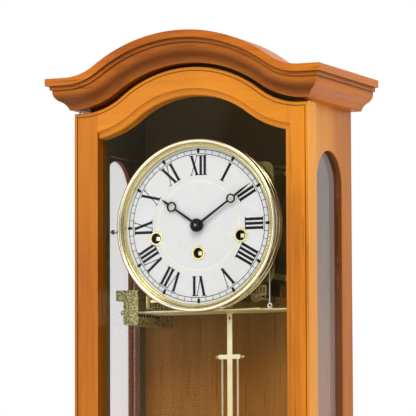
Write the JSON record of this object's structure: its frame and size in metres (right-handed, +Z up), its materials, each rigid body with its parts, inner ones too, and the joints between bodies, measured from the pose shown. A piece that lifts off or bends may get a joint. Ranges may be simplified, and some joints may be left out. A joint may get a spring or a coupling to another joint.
{
  "type": "regulator wall clock",
  "caption": "Regulator wall clock: arched cherry case with a glazed door, round dial with ring hands, chime rods and a compensated pendulum",
  "frame": {"origin": "centre of the keyhole in the wall hanger, on the plane of the wall", "axes": "+Z up, +Y into the wall, +X to the right of somebody who reads the dial"},
  "size_m": [0.337, 0.1783, 0.6995],
  "materials": {
    "cherry_wood": "satin lacquer",
    "dark_wood": "satin lacquer",
    "clear_glass": "clear polished",
    "steel": "polished",
    "brass": "lacquered",
    "black_paint": "satin black",
    "dial_paint": "satin white"
  },
  "bodies": {
    "case": {"left_side": "cherry_wood", "right_side": "cherry_wood", "back_board": "dark_wood", "floor_board": "cherry_wood", "header_rail": "dark_wood", "cornice_front": "cherry_wood", "cornice_returns": "cherry_wood", "cornice_roof": "dark_wood", "base_moulding": "cherry_wood", "side_glasses": "clear_glass", "hanger_plate": "steel", "door_pivots": "steel", "door_catch": "steel", "mounting_posts": "brass", "dial_plate": "dial_paint", "bezel": "brass", "winding_grommets": "brass", "front_plate": "brass", "back_plate": "brass", "plate_pillars": "brass", "suspension_cock": "brass", "chime_block": "brass", "chime_rods": "steel", "hammer_shaft": "steel", "lift_wire": "steel"},
    "door": {"door_left_stile": "cherry_wood", "door_right_stile": "cherry_wood", "door_top_rail": "cherry_wood", "door_bottom_rail": "cherry_wood", "door_glass": "clear_glass", "catch_plate": "steel"},
    "minute": {"centre_wheel": "brass", "cannon_pinion": "brass", "minute_hand": "black_paint", "hand_nut": "black_paint"},
    "hour": {"hour_wheel": "brass", "hour_hand": "black_paint"},
    "minute_wheel": {"minute_wheel": "brass"},
    "time_barrel": {"time_barrel": "brass"},
    "intermediate_wheel": {"intermediate_wheel": "brass"},
    "third_wheel": {"third_wheel": "brass"},
    "escape_wheel": {"escape_wheel": "brass"},
    "anchor": {"anchor": "steel"},
    "pendulum": {"suspension_spring": "steel", "pendulum_leader": "brass", "pendulum_rod": "brass", "gridiron": "brass", "pendulum_bob": "brass"},
    "rating_nut": {"rating_nut": "brass"},
    "time_winding_arbor": {"time_winding_arbor": "steel"},
    "strike_winding_arbor": {"strike_winding_arbor": "steel"},
    "chime_winding_arbor": {"chime_winding_arbor": "steel"},
    "strike_barrel": {"strike_barrel": "brass"},
    "chime_barrel": {"chime_barrel": "brass"},
    "chime_hammer_1": {"chime_hammer_1": "brass"},
    "chime_hammer_2": {"chime_hammer_2": "brass"},
    "chime_hammer_3": {"chime_hammer_3": "brass"},
    "chime_hammer_4": {"chime_hammer_4": "brass"},
    "strike_hammers": {"strike_hammers": "brass"},
    "silence_lever": {"silence_lever": "steel"}
  },
  "joints": [
    {"name": "door_swing", "type": "hinge", "parent": "case", "child": "door", "pos_m": [-0.13935, -0.1466, -0.25], "axis": [0, 0, -1], "range_deg": [0, 100]},
    {"name": "minute_spin", "type": "hinge", "parent": "case", "child": "minute", "pos_m": [0, -0.0826, -0.095], "axis": [0, 1, 0], "continuous": true},
    {"name": "hour_spin", "type": "hinge", "parent": "case", "child": "hour", "pos_m": [0, -0.0826, -0.095], "axis": [0, 1, 0], "continuous": true},
    {"name": "minute_wheel_spin", "type": "hinge", "parent": "case", "child": "minute_wheel", "pos_m": [-0.01527, -0.112, -0.07973], "axis": [0, 1, 0], "continuous": true},
    {"name": "intermediate_spin", "type": "hinge", "parent": "case", "child": "intermediate_wheel", "pos_m": [0.02061, -0.0826, -0.1115], "axis": [0, 1, 0], "continuous": true},
    {"name": "time_barrel_spin", "type": "hinge", "parent": "case", "child": "time_barrel", "pos_m": [0, -0.08, -0.126], "axis": [0, 1, 0], "continuous": true},
    {"name": "third_spin", "type": "hinge", "parent": "case", "child": "third_wheel", "pos_m": [-0.01108, -0.0826, -0.07201], "axis": [0, 1, 0], "continuous": true},
    {"name": "escape_spin", "type": "hinge", "parent": "case", "child": "escape_wheel", "pos_m": [0, -0.0826, -0.053], "axis": [0, 1, 0], "continuous": true},
    {"name": "pendulum_swing", "type": "hinge", "parent": "case", "child": "pendulum", "pos_m": [0, -0.0396, -0.035], "axis": [0, 1, 0], "range_deg": [-4, 4]},
    {"name": "anchor_rock", "type": "hinge", "parent": "case", "child": "anchor", "pos_m": [0, -0.0826, -0.035], "axis": [0, 1, 0], "range_deg": [-4, 4]},
    {"name": "rating_nut_turn", "type": "hinge", "parent": "pendulum", "child": "rating_nut", "pos_m": [0, -0.04127, -0.47], "axis": [0, 0, 1], "continuous": true},
    {"name": "time_winding", "type": "hinge", "parent": "case", "child": "time_winding_arbor", "pos_m": [0, -0.09, -0.126], "axis": [0, 1, 0], "continuous": true},
    {"name": "strike_winding", "type": "hinge", "parent": "case", "child": "strike_winding_arbor", "pos_m": [-0.052, -0.09, -0.1078], "axis": [0, 1, 0], "continuous": true},
    {"name": "chime_winding", "type": "hinge", "parent": "case", "child": "chime_winding_arbor", "pos_m": [0.052, -0.09, -0.1078], "axis": [0, 1, 0], "continuous": true},
    {"name": "strike_barrel_spin", "type": "hinge", "parent": "case", "child": "strike_barrel", "pos_m": [-0.052, -0.08, -0.1078], "axis": [0, 1, 0], "continuous": true},
    {"name": "chime_barrel_spin", "type": "hinge", "parent": "case", "child": "chime_barrel", "pos_m": [0.052, -0.08, -0.1078], "axis": [0, 1, 0], "continuous": true},
    {"name": "chime_hammer_1_lift", "type": "hinge", "parent": "case", "child": "chime_hammer_1", "pos_m": [0.062, -0.08, -0.175], "axis": [0, 1, 0], "range_deg": [0, 4]},
    {"name": "chime_hammer_2_lift", "type": "hinge", "parent": "case", "child": "chime_hammer_2", "pos_m": [0.062, -0.08, -0.175], "axis": [0, 1, 0], "range_deg": [0, 4]},
    {"name": "chime_hammer_3_lift", "type": "hinge", "parent": "case", "child": "chime_hammer_3", "pos_m": [0.062, -0.08, -0.175], "axis": [0, 1, 0], "range_deg": [0, 4]},
    {"name": "chime_hammer_4_lift", "type": "hinge", "parent": "case", "child": "chime_hammer_4", "pos_m": [0.062, -0.08, -0.175], "axis": [0, 1, 0], "range_deg": [0, 4]},
    {"name": "strike_hammers_lift", "type": "hinge", "parent": "case", "child": "strike_hammers", "pos_m": [0.062, -0.06, -0.175], "axis": [0, 1, 0], "range_deg": [0, 4]},
    {"name": "silence_lever_turn", "type": "hinge", "parent": "case", "child": "silence_lever", "pos_m": [-0.07, -0.1115, -0.097], "axis": [0, 1, 0], "range_deg": [-8, 8]}
  ],
  "couplings": [
    {"joint": "hour_spin", "follows": "minute_spin", "ratio": 0.083333},
    {"joint": "minute_wheel_spin", "follows": "minute_spin", "ratio": -0.33333},
    {"joint": "intermediate_spin", "follows": "minute_spin", "ratio": -0.2},
    {"joint": "time_barrel_spin", "follows": "minute_spin", "ratio": 0.033333},
    {"joint": "third_spin", "follows": "minute_spin", "ratio": -10},
    {"joint": "escape_spin", "follows": "minute_spin", "ratio": 100},
    {"joint": "anchor_rock", "follows": "pendulum_swing", "ratio": 1}
  ]
}
